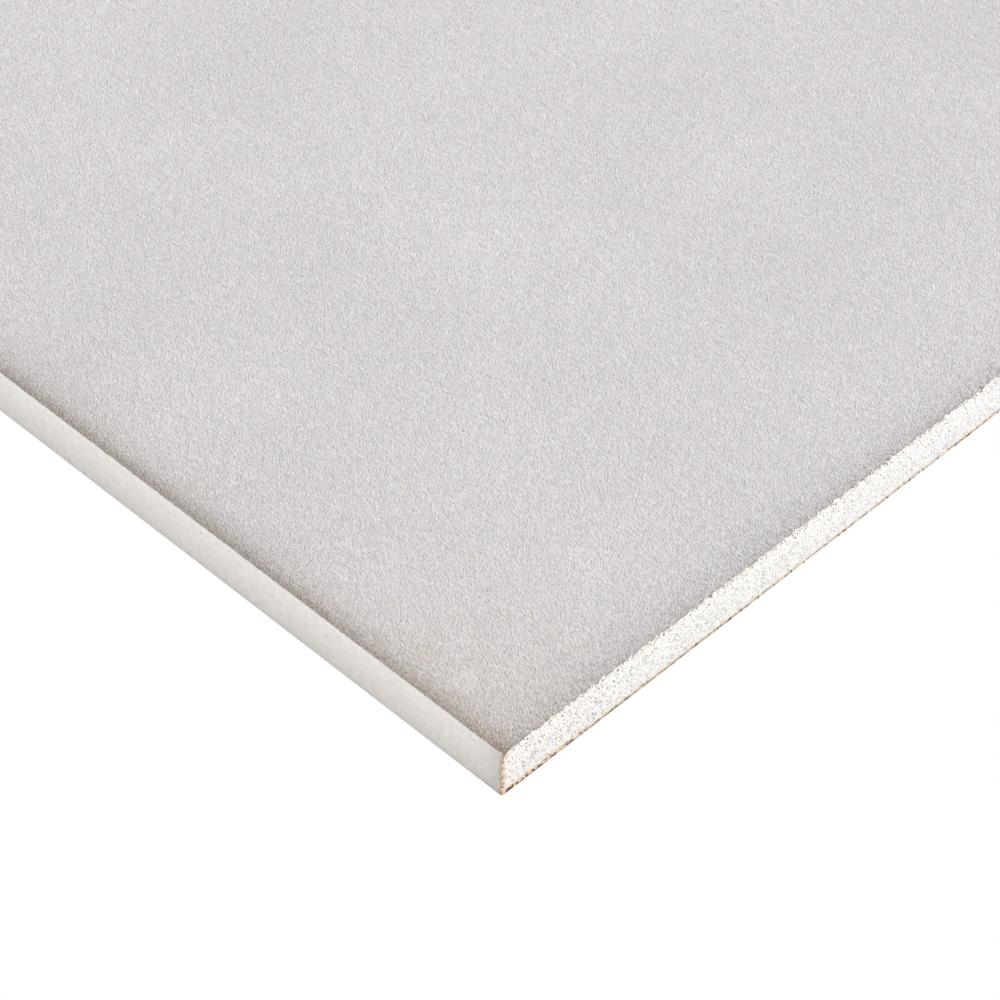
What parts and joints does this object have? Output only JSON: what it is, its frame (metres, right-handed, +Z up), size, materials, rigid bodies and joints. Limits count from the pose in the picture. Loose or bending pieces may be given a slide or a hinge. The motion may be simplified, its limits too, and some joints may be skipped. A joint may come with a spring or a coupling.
{
  "type": "drywall sheet",
  "caption": "Flat rectangular gypsum board with a plaster core between paper liners, paper-wrapped long edges and square-cut ends, for lining walls and ceilings.",
  "frame": {"origin": "centre of the back face, which lies flat on the floor", "axes": "+X across the width, +Y along the length between the cut ends, +Z up through the thickness towards the face"},
  "size_m": [1.2, 2.4, 0.0125],
  "materials": {
    "gypsum": "matt white foamed gypsum plaster, rough and porous where cut",
    "face_paper": "matt pale grey fibrous liner paper, ivory on the wrapped long edges",
    "back_paper": "matt brown recycled liner paper"
  },
  "bodies": {
    "root": {"gypsum_core": "gypsum", "face_paper": "face_paper", "back_paper": "back_paper"}
  },
  "joints": []
}
